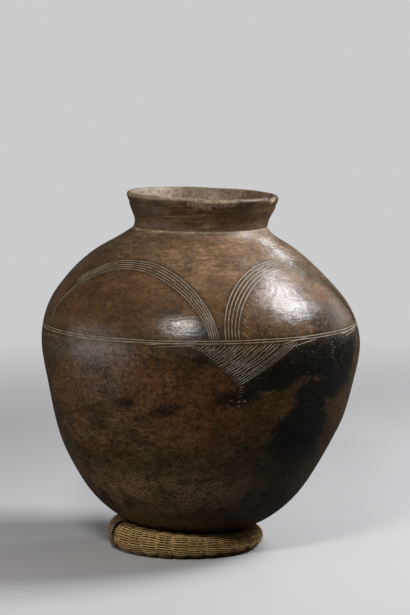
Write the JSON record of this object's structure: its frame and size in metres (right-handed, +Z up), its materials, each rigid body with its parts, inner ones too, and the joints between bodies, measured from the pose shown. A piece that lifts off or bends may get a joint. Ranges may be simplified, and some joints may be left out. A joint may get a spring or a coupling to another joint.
{
  "type": "clay pot",
  "caption": "Round-bodied hand-built clay jar with a short flared neck, resting in a ring woven from split cane; it holds water and lifts off the ring.",
  "frame": {"origin": "on the surface that the ring stands on, under the middle of the jar's belly", "axes": "+Z up along the jar, +X to the right and -Y to the front, where the seam of the ring shows on the left"},
  "size_m": [0.458, 0.458, 0.5162],
  "materials": {
    "fired_clay": "satin",
    "split_cane": "matte",
    "twisted_cane": "matte",
    "dry_grass": "matte"
  },
  "bodies": {
    "ring": {"grass_core": "dry_grass", "hoop_01": "split_cane", "hoop_02": "split_cane", "hoop_03": "split_cane", "hoop_04": "split_cane", "hoop_05": "split_cane", "hoop_06": "split_cane", "hoop_07": "split_cane", "hoop_08": "split_cane", "hoop_09": "split_cane", "hoop_10": "split_cane", "hoop_11": "split_cane", "hoop_12": "split_cane", "hoop_13": "split_cane", "hoop_14": "split_cane", "hoop_15": "split_cane", "hoop_16": "split_cane", "hoop_17": "split_cane", "hoop_18": "split_cane", "hoop_19": "split_cane", "hoop_20": "split_cane", "hoop_21": "split_cane", "hoop_22": "split_cane", "hoop_23": "split_cane", "hoop_24": "split_cane", "hoop_25": "split_cane", "hoop_26": "split_cane", "hoop_27": "split_cane", "weaver_01": "split_cane", "weaver_02": "split_cane", "weaver_03": "split_cane", "weaver_04": "split_cane", "weaver_05": "split_cane", "weaver_06": "split_cane", "weaver_07": "split_cane", "weaver_08": "split_cane", "weaver_09": "split_cane", "weaver_10": "split_cane", "weaver_11": "split_cane", "weaver_12": "split_cane", "weaver_13": "split_cane", "weaver_14": "split_cane", "weaver_15": "split_cane", "weaver_16": "split_cane", "weaver_17": "split_cane", "weaver_18": "split_cane", "weaver_19": "split_cane", "weaver_20": "split_cane", "weaver_21": "split_cane", "weaver_22": "split_cane", "weaver_23": "split_cane", "weaver_24": "split_cane", "weaver_25": "split_cane", "weaver_26": "split_cane", "end_border_a": "twisted_cane", "end_border_b": "twisted_cane", "seam_tie_01": "twisted_cane", "seam_tie_02": "twisted_cane", "seam_tie_03": "twisted_cane"},
    "pot": {"clay_pot": "fired_clay"}
  },
  "joints": [
    {"name": "pot_lift", "type": "slide", "parent": "ring", "child": "pot", "axis": [0, 0, 1], "range_m": [0, 0.15]}
  ]
}
